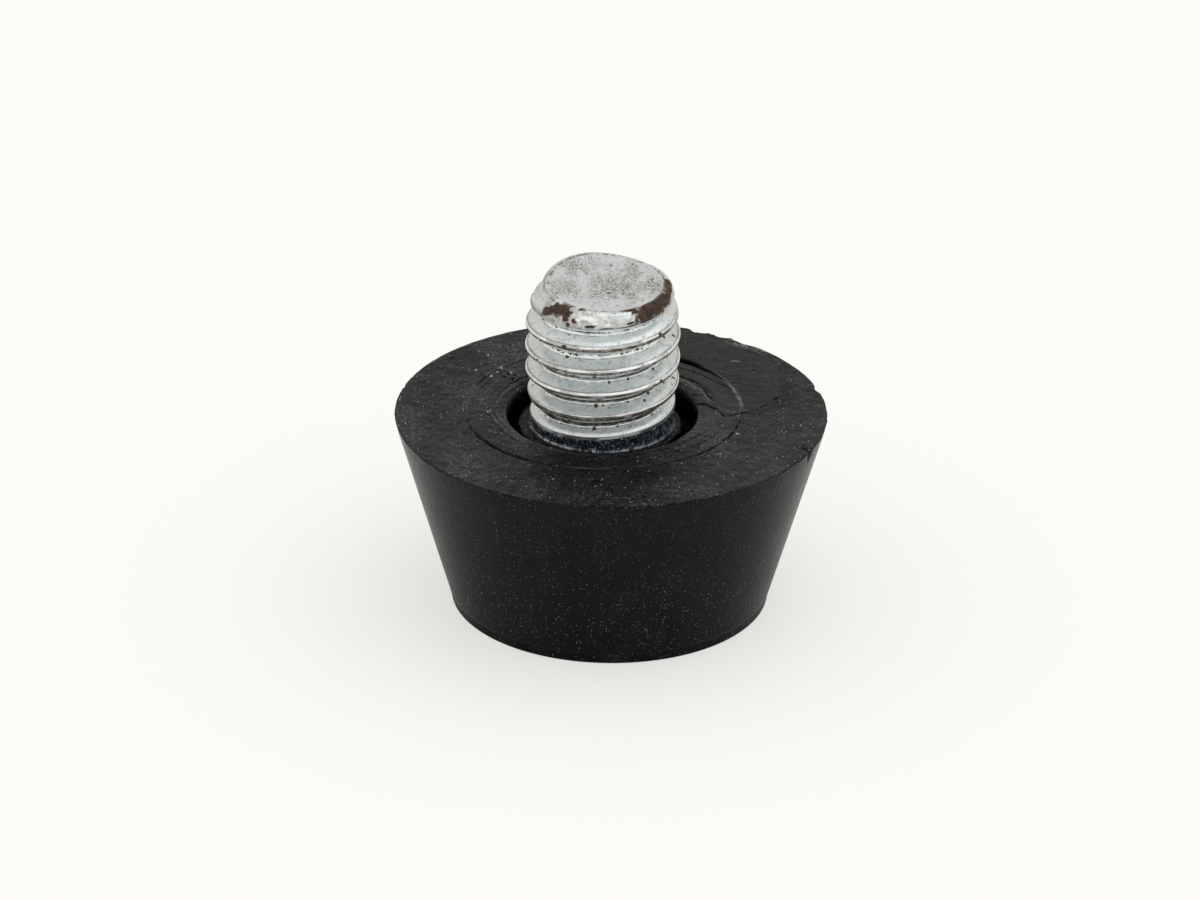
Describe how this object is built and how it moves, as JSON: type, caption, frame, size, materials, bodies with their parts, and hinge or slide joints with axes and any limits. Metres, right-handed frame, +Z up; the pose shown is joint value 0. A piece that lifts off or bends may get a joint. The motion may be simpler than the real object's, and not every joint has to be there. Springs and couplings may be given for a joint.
{
  "type": "leveling foot",
  "caption": "Small conical rubber leveling foot, wide face up, moulded on a zinc-plated M8 threaded stud that stands out of a shallow round recess.",
  "frame": {"origin": "centre of the sole, on the cone's axis, at floor level", "axes": "+Z up along the cone, parallel to the threaded stud; +X to the right and +Y away from the viewer who faces the foot"},
  "size_m": [0.0222, 0.0222, 0.0179],
  "materials": {
    "rubber": "moulded black rubber, satin, lightly dusty",
    "zinc_steel": "zinc plated, dull bright, with small rust spots"
  },
  "bodies": {
    "root": {"rubber_foot": "rubber", "stud_bolt": "zinc_steel"}
  },
  "joints": []
}
